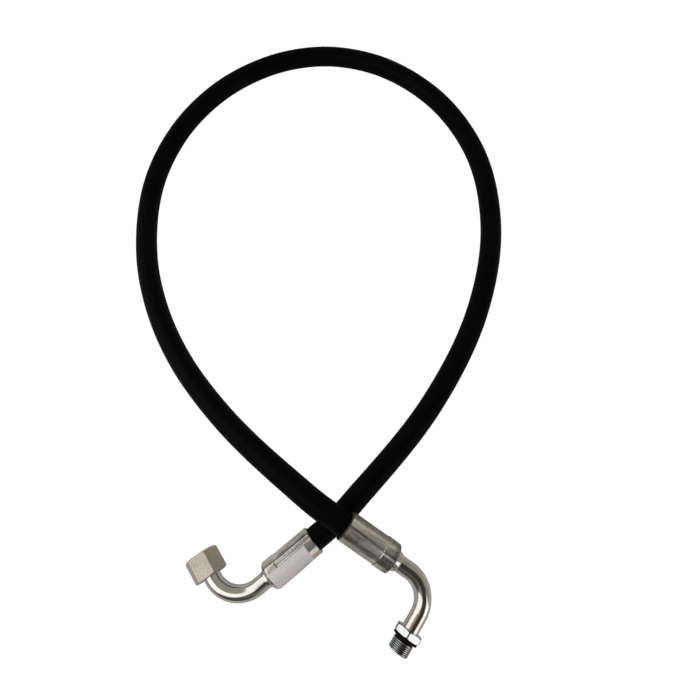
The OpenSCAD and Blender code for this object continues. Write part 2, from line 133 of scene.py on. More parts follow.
# ---------------------------------------------------------------- mesh helpers
def finish_piece(name, mesh, matrix, body, material, node, sharp):
    """Normals out, smooth shading with sharp edges from an angle up (0: none), material,
    the node that the piece stands for, and body."""
    bm = bmesh.new()
    bm.from_mesh(mesh)
    bmesh.ops.recalc_face_normals(bm, faces=bm.faces)
    bm.to_mesh(mesh)
    bm.free()
    mesh.shade_smooth()
    if sharp:
        mesh.set_sharp_from_angle(angle=math.radians(sharp))
    mesh.materials.append(material)
    piece = bpy.data.objects.new(name, mesh)
    piece.matrix_world = matrix
    bpy.context.scene.collection.objects.link(piece)
    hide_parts(node)
    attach(piece, body)
    return piece


def arc(centre, radius, start, stop, steps):
    """Points of a section on an arc round a centre, from one angle to another."""
    points = []
    for k in range(steps + 1):
        a = math.radians(start + (stop - start) * k / steps)
        points.append((centre[0] + radius * math.cos(a), centre[1] + radius * math.sin(a)))
    return points


def ring_mesh(name, rows, sides, start=0.0):
    """A closed ring of rows round z. A row is (radius, height), or a function of the
    angle that gives it. UV: turns round, and mm along the section."""
    verts = []
    for row in rows:
        for k in range(sides):
            angle = start + 360.0 * k / sides
            r, z = row(angle) if callable(row) else row
            a = math.radians(angle)
            verts.append((r * MM * math.cos(a), r * MM * math.sin(a), z * MM))
    count = len(rows)
    faces, lengths = [], [0.0]
    for i in range(count):
        here, after = i * sides, (i + 1) % count * sides
        for k in range(sides):
            k2 = (k + 1) % sides
            faces.append((here + k, here + k2, after + k2, after + k))
        span = Vector(verts[here]) - Vector(verts[after])
        lengths.append(lengths[-1] + span.length / MM)
    mesh = bpy.data.meshes.new(name)
    mesh.from_pydata(verts, [], faces)
    uv = mesh.uv_layers.new(name="UVMap")
    for index, face in enumerate(mesh.polygons):
        i, k = divmod(index, sides)
        corners = [(k, i), (k + 1, i), (k + 1, i + 1), (k, i + 1)]
        for loop, (u, v) in zip(face.loop_indices, corners):
            uv.data[loop].uv = (u / sides, lengths[v])
    return mesh


def tube_mesh(name, path, side_of, outer, inner, sides):
    """A hollow tube along path: [(point, direction)]. side_of gives a direction across
    the tube from the direction along it. Metres. UV: turns round, metres along."""
    rim = 0.001     # the length that an end's UVs get
    count = len(path)
    lengths = [0.0]
    for i in range(1, count):
        lengths.append(lengths[-1] + (path[i][0] - path[i - 1][0]).length)
    verts = []
    for radius in (outer, inner):
        for point, direction in path:
            side = side_of(direction)
            up = side.cross(direction).normalized()
            for k in range(sides):
                a = 2 * math.pi * k / sides
                verts.append(point + radius * (math.cos(a) * side + math.sin(a) * up))
    faces, uvs = [], []

    def band(first, second, low, high):
        """Faces between two rings of vertices, with UVs from low to high."""
        for k in range(sides):
            k2 = (k + 1) % sides
            u, u2 = k / sides, (k + 1) / sides
            faces.append((first + k, first + k2, second + k2, second + k))
            uvs.append([(u, low), (u2, low), (u2, high), (u, high)])

    inside = count * sides
    for shell in (0, inside):
        for i in range(count - 1):
            band(shell + i * sides, shell + (i + 1) * sides, lengths[i], lengths[i + 1])
    for i in (0, count - 1):
        band(i * sides, inside + i * sides, 0.0, rim)
    mesh = bpy.data.meshes.new(name)
    mesh.from_pydata([tuple(v) for v in verts], [], faces)
    uv = mesh.uv_layers.new(name="UVMap")
    for face, corners in zip(mesh.polygons, uvs):
        for loop, corner in zip(face.loop_indices, corners):
            uv.data[loop].uv = corner
    return mesh


# ---------------------------------------------------------------- the centreline
def centreline():
    """The route of part.scad: [(point, direction)] in metres, cut end to cut end."""
    out_a, out_b = heading(NUT_END), heading(STUD_END)
    mouth_a, mouth_b = Vector(NUT_END["mouth"]), Vector(STUD_END["mouth"])
    stations = [mouth_a + HOSE_END * out_a, mouth_a - EXIT * out_a]
    stations += [Vector(point) for point in ROUTE]
    stations += [mouth_b - EXIT * out_b, mouth_b + HOSE_END * out_b]
    last = len(stations) - 1
    span = [stations[i + 1] - stations[i] for i in range(last)]
    chord = [step.length for step in span]

    def slope(i):
        """The curve's direction at a station. The two end stretches are straight."""
        if i < 2:
            return span[0].normalized()
        if i > last - 2:
            return span[-1].normalized()
        before = span[i - 1].normalized() * chord[i]
        after = span[i].normalized() * chord[i - 1]
        return (before + after) / (chord[i - 1] + chord[i])

    points = []
    for i in range(last):
        count = max(2, round(chord[i] / HOSE_STEP))
        for k in range(count + (i == last - 1)):
            t = k / count
            point = (
                (2 * t**3 - 3 * t**2 + 1) * stations[i]
                + (t**3 - 2 * t**2 + t) * chord[i] * slope(i)
                + (3 * t**2 - 2 * t**3) * stations[i + 1]
                + (t**3 - t**2) * chord[i] * slope(i + 1)
            )
            point.z = max(point.z, HOSE_R)
            points.append(point * MM)
    path = []
    for i, point in enumerate(points):
        direction = points[min(i + 1, len(points) - 1)] - points[max(i - 1, 0)]
        path.append((point, direction.normalized()))
    return path


# ---------------------------------------------------------------- node helpers
class Nodes:
    """A node tree and short ways to add to it. Where a value is a socket it is linked,
    and where it is a number or a colour it is set."""

    def __init__(self, tree):
        self.tree = tree

    def add(self, kind, inputs=None, **settings):
        node = self.tree.nodes.new(kind)
        for key, value in settings.items():
            setattr(node, key, value)
        for key, value in (inputs or {}).items():
            if isinstance(value, bpy.types.NodeSocket):
                self.tree.links.new(value, node.inputs[key])
            else:
                node.inputs[key].default_value = value
        return node

    def math(self, operation, *values):
        node = self.add("ShaderNodeMath", dict(enumerate(values)), operation=operation)
        return node.outputs["Value"]

    def plus(self, first, second):
        return self.math("ADD", first, second)

    def minus(self, first, second):
        return self.math("SUBTRACT", first, second)

    def times(self, first, second):
        return self.math("MULTIPLY", first, second)

    def highest(self, first, *others):
        for other in others:
            first = self.math("MAXIMUM", first, other)
        return first

    def range(self, value, low, high, to_low, to_high, **settings):
        """The value from low to high, as a value from to_low to to_high."""
        return self.add("ShaderNodeMapRange", {
            "Value": value, "From Min": low, "From Max": high,
            "To Min": to_low, "To Max": to_high,
        }, **settings).outputs["Result"]

    def mixed(self, share, first, second):
        """The first shader node where share is 0, and the second where it is 1."""
        return self.add("ShaderNodeMixShader", {
            0: share, 1: first.outputs[0], 2: second.outputs[0],
        })


class Shader(Nodes):
    """A Principled material. Its sockets are given by name, with _ for a space."""

    def __init__(self, name, **sockets):
        self.material = bpy.data.materials.new(name)
        self.material.use_nodes = True
        super().__init__(self.material.node_tree)
        self.principled = self.tree.nodes["Principled BSDF"]
        for key, value in sockets.items():
            self.principled.inputs[key.replace("_", " ")].default_value = value

    def to(self, socket, key):
        self.tree.links.new(socket, self.principled.inputs[key])

    def coords(self, kind="Object", scale=(1, 1, 1)):
        source = self.add("ShaderNodeTexCoord").outputs[kind]
        return self.add("ShaderNodeMapping", {"Vector": source, "Scale": scale}).outputs["Vector"]

    def noise(self, scale, detail=4.0, roughness=0.55, at=None):
        """Noise at the coordinates that are given, or else at the object's own."""
        return self.add("ShaderNodeTexNoise", {
            "Vector": self.coords() if at is None else at, "Scale": scale,
            "Detail": detail, "Roughness": roughness,
        }).outputs["Fac"]

    def spread(self, noise, to_low, to_high):
        """Noise, which is nearly all between 0.3 and 0.7, over a range of its own."""
        return self.range(noise, 0.3, 0.7, to_low, to_high)

    def bands(self, scale, distortion=0.0, detail=2.0):
        """Slanted bands on the UV map."""
        return self.add("ShaderNodeTexWave", {
            "Vector": self.coords("UV", scale), "Scale": 1.0,
            "Distortion": distortion, "Detail": detail,
        }, bands_direction="DIAGONAL").outputs["Fac"]

    def ramp(self, value, stops):
        node = self.add("ShaderNodeValToRGB", {"Fac": value})
        elements = node.color_ramp.elements
        while len(elements) < len(stops):
            elements.new(0.5)
        for element, (position, colour) in zip(elements, stops):
            element.position = position
            element.color = (*colour, 1.0)
        return node.outputs["Color"]

    def blend(self, share, first, second):
        """The first colour where share is 0, and the second where it is 1."""
        at_share, at_first, at_second, at_result = 0, 6, 7, 2   # the node's sockets for colours
        inputs = {at_share: share}
        for key, colour in ((at_first, first), (at_second, second)):
            inputs[key] = (*colour, 1.0) if isinstance(colour, tuple) else colour
        return self.add("ShaderNodeMix", inputs, data_type="RGBA").outputs[at_result]

    def window(self, value, low, high, soft):
        """1 between low and high and 0 outside, with an edge of soft to either side."""
        rise = self.range(value, low - soft, low + soft, 0.0, 1.0)
        fall = self.range(value, high - soft, high + soft, 1.0, 0.0)
        return self.times(rise, fall)

    def bump(self, height, strength, depth):
        """Relief with a depth in mm."""
        node = self.add("ShaderNodeBump", {
            "Height": height, "Strength": strength, "Distance": depth * MM,
        })
        self.to(node.outputs["Normal"], "Normal")

    def drawn_relief(self, lines, grain_share, strength):
        """The relief of drawn lines and of the plating's own fine grain."""
        grain = self.noise(2600.0, 3.0, 0.7)
        self.bump(self.plus(self.times(grain, grain_share), lines), strength, 0.06)

    def drawn_gloss(self, lines, cloud, roughness):
        """Gloss that changes from line to line and from cloud to cloud."""
        both = self.plus(lines, self.times(cloud, 0.6))
        self.to(self.range(both, 0.5, 1.1, *roughness), "Roughness")


class RoundShader(Shader):
    """A Principled material that knows, round the piece's z, the turn in degrees, and the
    height and the radius in mm."""

    def __init__(self, name, **sockets):
        super().__init__(name, **sockets)
        parts = self.add("ShaderNodeSeparateXYZ", {"Vector": self.coords(scale=(1 / MM,) * 3)})
        x, y, self.height = (parts.outputs[key] for key in "XYZ")
        turn = self.times(self.math("ARCTAN2", y, x), 180 / math.pi)
        self.turn = self.math("FLOORED_MODULO", turn, 360.0)
        self.radius = self.math("SQRT", self.plus(self.times(x, x), self.times(y, y)))

    def by_turn(self, turn, first, last, tones):
        """Tones: [(turn, colour)], between the first turn and the last."""
        stops = [((at - first) / (last - first), colour) for at, colour in tones]
        return self.ramp(self.range(turn, first, last, 0.0, 1.0), stops)

    def patches(self, soft_turn, soft_height, *places):
        """1 in each place: (first turn, last turn, lowest, highest), and 0 elsewhere."""
        return self.highest(*[
            self.times(self.window(self.turn, first, last, soft_turn),
                       self.window(self.height, low, high, soft_height))
            for first, last, low, high in places
        ])


# ---------------------------------------------------------------- rubber and wire
def cover_rubber():
    """Near-black satin rubber with the faint weave that the wrapping tape leaves."""
    look = Shader("cover_rubber", Specular_IOR_Level=0.04)
    black, worn = (0.0008, 0.0008, 0.0009), (0.002, 0.002, 0.0021)
    look.to(look.ramp(look.noise(24.0, 5.0), [(0.3, black), (0.75, worn)]), "Base Color")
    look.to(look.spread(look.noise(60.0), 0.42, 0.58), "Roughness")
    weave = look.bands((120.0, 900.0, 1.0), 0.4, 1.0)
    grain = look.noise(900.0, 3.0)
    look.bump(look.plus(look.times(weave, 0.25), grain), 0.25, 0.08)
    return look.material


def dull_rubber(name, dark, light, specular=0.4):
    """Rubber or plastic that is a little uneven in colour, with a fine grain."""
    look = Shader(name, Roughness=0.6, Specular_IOR_Level=specular)
    look.to(look.ramp(look.noise(60.0), [(0.35, dark), (0.7, light)]), "Base Color")
    look.bump(look.noise(1500.0, 2.0), 0.3, 0.05)
    return look.material


def braid_wire():
    """Brass-coated steel wire, woven, with painted shade between the wires."""
    look = Shader("braid_wire", Metallic=1.0, Roughness=0.35)
    # painted shade: the dark between the woven wires
    weave_shade, brass = (0.16, 0.11, 0.05), (0.72, 0.56, 0.30)
    weave = look.times(look.bands((40.0, 420.0, 1.0)), look.bands((-40.0, 420.0, 1.0)))
    look.to(look.ramp(weave, [(0.0, weave_shade), (0.6, brass)]), "Base Color")
    look.bump(weave, 0.8, 0.2)
    return look.material


# ---------------------------------------------------------------- plated steel
def plated(name, dark, light, roughness, streaks, strength):
    """Zinc-plated steel: a little uneven in colour and gloss, with drawn streaks.
    streaks: the coordinates that they follow, and their scale."""
    look = Shader(name, Metallic=1.0)
    cloud = look.noise(70.0, 6.0, 0.6)
    look.to(look.ramp(cloud, [(0.3, dark), (0.7, light)]), "Base Color")
    lines = look.noise(240.0, 4.0, 0.65, look.coords(*streaks))
    look.drawn_gloss(lines, cloud, roughness)
    look.drawn_relief(lines, 0.6, strength)
    return look.material


def nut_plating():
    """Satin zinc plating with a fine grain, and a painted brown reflection towards the front of
    one flat.
    """
    look = RoundShader("nut_plating", Metallic=1.0)
    brown, shadow = (0.80, 0.69, 0.54), (0.42, 0.39, 0.345)
    clouds = [
        (0.3, (0.56, 0.49, 0.40)), (0.5, (0.61, 0.57, 0.505)), (0.75, (0.68, 0.65, 0.585)),
    ]
    # painted reflection: a brown tint on one flat, stronger towards the front
    flat = look.window(look.turn, 210.0, 270.0, 0.5)
    painted_brown_share = look.times(flat, look.range(look.height, 38.0, 50.0, 0.35, 1.0))
    tone = look.ramp(look.noise(55.0, 3.0), clouds)
    tone = look.blend(look.times(painted_brown_share, 0.9), tone, brown)
    grain = look.noise(800.0, 3.0, 0.7)
    tone = look.blend(look.range(grain, 0.42, 0.62, 0.0, 0.55), tone, shadow)
    look.to(tone, "Base Color")
    look.to(look.spread(grain, 0.36, 0.52), "Roughness")
    look.bump(look.noise(1500.0, 3.0, 0.7), 0.3, 0.06)
    return look.material


def ferrule_plating(name, tones):
    """Zinc-plated steel that the crimping dies have drawn into fine lengthwise lines.
    tones: [(turn, colour)], from 60 to 300, are painted reflection: lighter and darker bands round
    the piece. Gives the shader, its lines and its colour."""
    look = RoundShader(name)
    sway = 16.0     # degrees that the edge of a tone wanders over
    lines = look.noise(420.0, 5.0, 0.7, look.coords(scale=(1, 1, 0.05)))
    mottle = look.noise(260.0, 5.0, 0.7, look.coords(scale=(1, 1, 0.35)))
    wave = look.noise(160.0, at=look.coords(scale=(1, 1, 0.2)))
    turn = look.plus(look.turn, look.times(look.minus(wave, 0.5), sway))
    # painted reflection: the tones change with the turn round the ferrule
    base = look.by_turn(turn, 60.0, 300.0, tones)
    shade = look.plus(look.range(lines, 0.38, 0.62, 0.62, 1.22),
                      look.range(mottle, 0.36, 0.64, -0.26, 0.26))
    tone = look.add("ShaderNodeVectorMath", {0: base, "Scale": shade}, operation="SCALE")
    return look, lines, tone.outputs["Vector"]


def label_tone(look):
    """The bare patch where a label was: pale, a little green on one side, and with a
    band of painted light on the other."""
    pale = [(0.35, (0.67, 0.60, 0.61)), (0.65, (0.73, 0.665, 0.685))]
    painted_light_band, greenish = (0.80, 0.745, 0.75), (0.56, 0.58, 0.54)
    tone = look.ramp(look.noise(45.0, 1.0, at=look.coords(scale=(1, 1, 0.4))), pale)
    # painted light: a paler band along one side of the patch
    tone = look.blend(look.times(look.window(look.turn, 157.0, 190.0, 8.0), 0.5), tone, painted_light_band)
    green = look.patches(12.0, 4.0, (60.0, 128.0, 13.0, 28.0))
    return look.blend(look.times(green, 0.8), tone, greenish)


def ferrule_pale():
    """The nut end's ferrule, with the pale matt patch where its label was, a band below it
    of brown, bright and dark tones by the turn that are painted light and shade, and painted
    highlight lines and dark lines beside it."""
    # the tones are painted reflection bands
    look, lines, tone = ferrule_plating("ferrule_pale", [
        (90, (0.60, 0.56, 0.53)), (150, (0.62, 0.58, 0.56)), (190, (0.56, 0.52, 0.51)),
        (207, (0.62, 0.58, 0.57)), (214, (0.40, 0.37, 0.33)), (224, (0.78, 0.755, 0.69)),
        (260, (0.76, 0.74, 0.70)),
    ])
    # painted light and shade: bright and dark bands by the turn below the patch
    below_painted_bands = look.by_turn(look.turn, 101.0, 189.0, [
        (101.0, (0.50, 0.45, 0.37)), (132.68, (0.56, 0.48, 0.39)),
        (136.2, (0.98, 0.90, 0.83)), (151.16, (0.96, 0.88, 0.82)),
        (154.68, (0.24, 0.20, 0.19)), (184.6, (0.30, 0.26, 0.26)),
    ])
    bright, dark = (0.95, 0.93, 0.92), (0.06, 0.05, 0.045)
    dots = look.noise(620.0, 2.0)
    # painted highlights: bright lines along the crimp ridges
    painted_highlights = look.patches(
        0.6, 0.4, (188.0, 190.6, 1.5, 46.0), (196.0, 197.6, 1.5, 46.0), (206.6, 209.4, 1.5, 46.0))
    marks = look.patches(
        0.5, 0.25,
        (186.0, 209.0, 37.1, 37.7), (195.0, 198.5, 34.6, 36.3), (213.0, 216.0, 39.0, 41.0),
        (180.5, 184.0, 5.6, 8.0), (210.4, 212.4, 3.0, 33.0), (186.3, 187.3, 1.5, 46.0),
        (193.0, 194.2, 1.5, 46.0), (199.4, 200.6, 1.5, 46.0))
    tone = look.blend(look.times(painted_highlights, look.range(dots, 0.42, 0.6, 0.25, 0.9)), tone, bright)
    tone = look.blend(look.times(marks, look.range(dots, 0.38, 0.52, 0.45, 1.0)), tone, dark)
    below = look.patches(0.5, 0.2, (*NUT_END["label"], 1.2, LABEL_Z))
    label = look.patches(0.5, 0.25, (*NUT_END["label"], LABEL_Z, LABEL_END_Z))
    tone = look.blend(below, tone, below_painted_bands)
    look.to(look.blend(label, tone, label_tone(look)), "Base Color")
    matt = look.highest(label, look.times(below, 0.6))
    look.to(look.range(matt, 0.0, 1.0, 1.0, 0.05), "Metallic")
    look.to(look.plus(look.times(matt, 0.3), 0.33), "Roughness")
    look.drawn_relief(lines, 0.4, look.range(matt, 0.0, 1.0, 0.14, 0.015))
    return look.material


def ferrule_dull():
    """The stud end's ferrule: duller, with a brown tone, painted highlights along the ridges
    and on the step, grime on the shoulder, painted shade on one side of the collar and in the
    step, and darker in a notch and round the mouth."""
    # the tones are painted reflection bands
    look, lines, tone = ferrule_plating("ferrule_dull", [
        (95, (0.34, 0.33, 0.27)), (128, (0.42, 0.40, 0.33)), (140, (0.84, 0.80, 0.71)),
        (158, (0.84, 0.79, 0.72)), (170, (0.46, 0.42, 0.37)), (184, (0.80, 0.77, 0.74)),
        (196, (0.64, 0.59, 0.57)), (213, (0.50, 0.45, 0.39)), (233, (0.68, 0.66, 0.58)),
    ])
    glint_colour, grime_and_shade_colour = (0.9, 0.88, 0.84), (0.07, 0.062, 0.055)
    broken = look.noise(500.0, 3.0)
    # painted highlights: glints along the ridges and on the step
    bright = look.patches(
        0.5, 0.3,
        (136.0, 138.2, 1.5, 24.0), (140.6, 142.6, 1.5, 22.0), (179.5, 184.0, 32.0, 46.0),
        (226.8, 228.0, 2.0, 36.0), (187.0, 201.0, 36.1, 37.0), (130.0, 175.0, 36.3, 36.8))
    bright = look.times(bright, look.range(broken, 0.42, 0.58, 0.2, 0.8))
    notch = look.patches(1.0, 0.4, (110.0, 124.0, 41.2, 42.8))
    rim = look.window(look.height, -1.0, 1.3, 0.3)
    # painted shade in the step, on its far side
    step = look.times(look.window(look.height, 36.3, 37.2, 0.2),
                      look.range(look.turn, 200.0, 206.0, 0.1, 0.8))
    shoulder = look.times(look.range(look.height, 43.0, 46.5, 0.0, 0.75),
                          look.range(broken, 0.4, 0.6, 0.3, 1.0))
    # painted shade: one side of the collar
    collar = look.times(look.patches(3.0, 0.6, (187.0, 226.0, 37.5, 50.0)),
                        look.range(broken, 0.35, 0.6, 0.3, 0.8))
    # grime on the shoulder, painted shade on the collar and in the step, and darker in the notch
    # and round the mouth
    grime_and_shade = look.highest(notch, shoulder, collar, rim, step)
    grime_and_shade = look.times(grime_and_shade, look.minus(1.0, bright))
    look.to(look.blend(grime_and_shade, look.blend(bright, tone, glint_colour), grime_and_shade_colour), "Base Color")
    look.to(look.range(bright, 0.0, 1.0, 0.9, 0.2), "Metallic")
    look.drawn_gloss(lines, look.noise(70.0, 6.0, 0.6), (0.30, 0.48))
    look.drawn_relief(lines, 0.4, 0.14)
    return look.material


def hexagon_lines(look):
    """Where the shade is painted: 1 on the stud hexagon's six edges and on the rims that its
    chamfers cut.
    """
    corner = STUD_AF / math.sqrt(3)
    from_edge = look.minus(look.turn, STUD_TURN - 30.0)
    from_edge = look.minus(look.math("FLOORED_MODULO", from_edge, 60.0), 30.0)
    edges = look.range(look.math("ABSOLUTE", from_edge), 1.8, 4.0, 1.0, 0.0)
    past_cut = look.highest(look.minus(look.radius, corner - STUD_CUT), 0.0)
    rise = look.times(past_cut, CHAMFER_SLOPE)
    rims = []
    for z, sign in ((STUD_BACK, 1.0), (STUD_BACK + STUD_HEX_H, -1.0)):
        from_rim = look.minus(look.height, look.plus(look.times(rise, sign), z))
        rims.append(look.range(look.math("ABSOLUTE", from_rim), 0.12, 0.42, 1.0, 0.0))
    far_out = look.range(look.radius, 10.6, 10.8, 0.0, 1.0)
    near_it = look.window(look.height, STUD_BACK - 1.0, STUD_BACK + STUD_HEX_H + 1.0, 0.1)
    hexagon = look.times(far_out, near_it)
    return look.times(look.highest(edges, *rims), hexagon)


def stud_plating():
    """Bright plating, with painted shade on the hexagon's edges and the chamfer's rims, and a
    painted reflection tint that differs from one side of the hexagon to the other.
    """
    look = RoundShader("stud_plating", Metallic=1.0)
    warm, cool, cloudy = (0.80, 0.745, 0.75), (0.60, 0.655, 0.64), (0.92, 0.92, 0.91)
    line = (0.10, 0.095, 0.09)
    # painted reflection: a warm tint on one side and a cool one on the other
    tone = look.blend(look.range(look.turn, 196.0, 200.0, 0.0, 1.0), warm, cool)
    tone = look.blend(look.spread(look.noise(90.0, 5.0), 0.0, 0.3), tone, cloudy)
    # painted shade: the hexagon's edges and the chamfer's rims drawn dark
    look.to(look.blend(hexagon_lines(look), tone, line), "Base Color")
    look.to(look.spread(look.noise(400.0), 0.16, 0.3), "Roughness")
    look.bump(look.noise(1500.0, 3.0), 0.06, 0.05)
    return look.material


def thread_plating():
    """The stud's thread: crests in painted reflection bands round the stud, and painted shade in
    the roots, which are a little oily, and on the neck before the thread.
    """
    look = RoundShader("thread_plating", Metallic=1.0)
    oil_and_shade, none, full = (0.006, 0.006, 0.006), (0, 0, 0), (1, 1, 1)
    # painted reflection: the crests' tones by the turn round the stud
    crest_reflections = look.by_turn(look.turn, 120.0, 260.0, [
        (120.0, (0.50, 0.44, 0.43)), (178.8, (0.62, 0.55, 0.54)),
        (198.4, (0.30, 0.31, 0.31)), (246.0, (0.55, 0.62, 0.63)),
    ])
    # painted shade, a little oily: the thread's roots and the neck before it go dark
    out = look.range(look.radius, THREAD_ROOT_R, THREAD_CREST_R, 0.0, 1.0)
    look.to(look.blend(look.ramp(out, [(0.55, none), (0.85, full)]), oil_and_shade, crest_reflections), "Base Color")
    look.to(look.spread(look.noise(500.0), 0.2, 0.36), "Roughness")
    return look.material


COVER_RUBBER = cover_rubber()
LINER_RUBBER = dull_rubber("liner_rubber", (0.012, 0.012, 0.012), (0.02, 0.02, 0.021))
TIE_RUBBER = dull_rubber("tie_rubber", (0.10, 0.095, 0.095), (0.15, 0.14, 0.14))
SEAL_RUBBER = dull_rubber("seal_rubber", (0.002, 0.002, 0.002), (0.004, 0.004, 0.004), 0.12)
BACKUP_PLASTIC = dull_rubber("backup_plastic", (0.74, 0.74, 0.70), (0.82, 0.82, 0.79))
BRAID_WIRE = braid_wire()
PALE_FERRULE = ferrule_pale()
DULL_FERRULE = ferrule_dull()
TUBE_PLATING = plated(
    "tube_plating", dark=(0.58, 0.54, 0.495), light=(0.80, 0.775, 0.74),
    roughness=(0.08, 0.18), streaks=("UV", (6.0, 0.4, 1.0)), strength=0.07,
)
TURNED_PLATING = plated(
    "turned_plating", dark=(0.76, 0.76, 0.75), light=(0.88, 0.88, 0.87),
    roughness=(0.14, 0.28), streaks=("Object", (1, 1, 4.0)), strength=0.08,
)
NUT_PLATING = nut_plating()
STUD_PLATING = stud_plating()
THREAD_PLATING = thread_plating()
HOSE_MATERIALS = {
    "cover_rubber": COVER_RUBBER, "braid_wire": BRAID_WIRE,
    "tie_rubber": TIE_RUBBER, "liner_rubber": LINER_RUBBER,
}


# ---------------------------------------------------------------- the hose
def build_hose(path):
    """The five layers along the centreline. Gives the cover."""
    def level_side(direction):
        return direction.cross(Vector((0, 0, 1))).normalized()

    layers = {}
    for node, (inner, outer, sides, slot) in LAYERS.items():
        mesh = tube_mesh(node, path, level_side, outer * MM, inner * MM, sides)
        layers[node] = finish_piece(node + "_round", mesh, Matrix.Identity(4), ROOT,
                                    HOSE_MATERIALS[slot], node, sharp=0)
    return layers["hose_cover"]


hose_path = centreline()
hose_cover = build_hose(hose_path)


# ---------------------------------------------------------------- the two ends
def kept_within(value):
    """The value, kept between 0 and 1."""
    return min(1.0, max(0.0, value))


def ferrule_rows(end):
    """Section of a crimped ferrule: the bore with its teeth, the mouth, and outside the
    faces that the dies press a little flat, with a ridge left between each two, over
    the body, the step and the collar."""
    bore, lip_z = HOSE_R + 0.15, 45.5
    teeth, tooth_pitch, tooth_h = 7, 5.0, 0.5
    die = 45.0                          # the turn that one die presses
    ridge_half, ridge_edge, ridge_h = 0.95, 0.18, 0.2
    valley_at, valley_half, valley_h = 1.15, 0.25, 0.1
    face_h = 0.06                       # how deep the middle of a face is
    widen_z, widened_z = 4.0, 30.0      # from body to collar, under the label

    def crimped(z, share, radius=BODY_R):
        """A row at height z, with a share of the relief that the dies leave."""
        def row(angle):
            if end["label"][0] < angle % 360.0 < end["label"][1] and z > LABEL_Z:
                part = kept_within((z - widen_z) / (widened_z - widen_z))
                return (BODY_R + (COLLAR_R - BODY_R) * part * part * (3 - 2 * part), z)
            off = (angle - end["ridge_turn"] + die / 2) % die - die / 2
            away = math.radians(abs(off)) * radius
            ridge = ridge_h * kept_within((ridge_half - away) / ridge_edge)
            valley = valley_h * math.exp(-((away - valley_at) / valley_half) ** 2)
            face = face_h * math.sin(math.pi * abs(off) / die)
            return (radius + share * (ridge - valley - face), z)
        return row

    rows = [(LIP_R, lip_z), (bore + 0.2, lip_z), (bore + 0.2, HOSE_END + 0.2)]
    for k in range(teeth, 0, -1):
        z = tooth_pitch * k
        rows += [(bore, z + 3.0), (bore + tooth_h, z + 1.6), (bore + tooth_h, z), (bore, z - 0.05)]
    rows += [(bore, 0.4), (bore + 0.4, 0.0)]
    for inset, z in ((0.8, 0.0), (0.45, 0.09), (0.2, 0.28), (0.05, 0.55)):
        rows.append((BODY_R - inset, z))
    rows += [crimped(0.8, 0.0), crimped(1.2, 0.5), crimped(1.6, 1.0)]
    rows += [crimped(z, 1.0) for z in (8, 16, 24, 30, 35, COLLAR_Z - 0.8)]
    rows += [crimped(COLLAR_Z - 0.6, 0.8), crimped(COLLAR_Z - 0.4, 0.6, BODY_R + 0.02)]
    rows += [crimped(COLLAR_Z, 0.5, COLLAR_R - 0.05), crimped(COLLAR_Z + 0.4, 0.9, COLLAR_R)]
    last = FERRULE_LEN - max(end["round"] + 0.2, 3.4)
    rows += [crimped(COLLAR_Z + (last - COLLAR_Z) * k / 3, 0.9, COLLAR_R) for k in (1, 2)]
    rows += [crimped(last - 0.3, 0.7, COLLAR_R), crimped(last, 0.1, COLLAR_R)]
    shoulder = (COLLAR_R - end["round"], FERRULE_LEN - end["round"])
    rows += arc(shoulder, end["round"], 0, 90, 8)
    rows += [(LIP_R + 0.2, FERRULE_LEN), (LIP_R, FERRULE_LEN - 0.2)]
    return rows


def tail_rows(end):
    """Section of a hose tail: barbs, stop collar, lock groove, neck and socket."""
    bore, tip = 4.75, 3.0
    barbs, root, barb = 9, 5.9, 6.3
    stop_r, stop_z, stop_end_z = 10.3, 42.2, 45.2
    groove_r = LIP_R - 0.1
    rows = [(bore, tip), (root - 0.5, tip)]
    pitch = (HOSE_END - tip - 4) / barbs
    for k in range(barbs):
        z = tip + 2 + k * pitch
        rows += [(root, z), (barb, z + 0.72 * pitch), (barb, z + 0.88 * pitch)]
        rows += [(root, z + pitch - 0.05)]
    start = FERRULE_LEN + 0.1
    rows += [(root, stop_z), (stop_r, stop_z), (stop_r, stop_end_z), (groove_r, stop_end_z)]
    rows += [(groove_r, start)]
    neck, rim = end["neck_r"], TUBE_R + 0.4
    neck_end = start + end["neck_len"]
    lean, drop = 0.3 * (neck - rim), neck_end - (neck - rim)
    rows += [(neck + 0.4 * lean - 0.1, start), (neck + 0.4 * lean, start + 0.1)]
    rows += [(neck - lean, drop - 0.25), (neck - lean - 0.08, drop - 0.08)]
    rows += [(neck - lean - 0.2, drop + 0.2), (rim, neck_end)]
    rows += [(SOCKET_R, neck_end), (SOCKET_R, SOCKET_Z), (bore, SOCKET_Z)]
    return rows


def elbow_path(end):
    """Along the elbow tube's centreline in the ferrule's frame: [(point, direction)] in
    metres. Each straight stretch has a point near either end."""
    steps = 32
    corner, bend_r, bend = end["corner"], end["bend_r"], math.radians(end["bend"])
    leg = bend_r * math.tan(bend / 2)
    along, out = Vector((0, 0, 1)), Vector((0, -math.sin(bend), math.cos(bend)))
    path = [(z * along, along) for z in (SOCKET_Z, SOCKET_Z + 4, corner - leg - 3)]
    for k in range(steps + 1):
        a = bend * k / steps
        point = Vector((0, bend_r * (math.cos(a) - 1), corner - leg + bend_r * math.sin(a)))
        path.append((point, Vector((0, -math.sin(a), math.cos(a)))))
    for distance in (leg + 1.5, end["outlet"] - 2, end["outlet"]):
        path.append((corner * along + distance * out, out))
    return [(point * MM, direction) for point, direction in path]


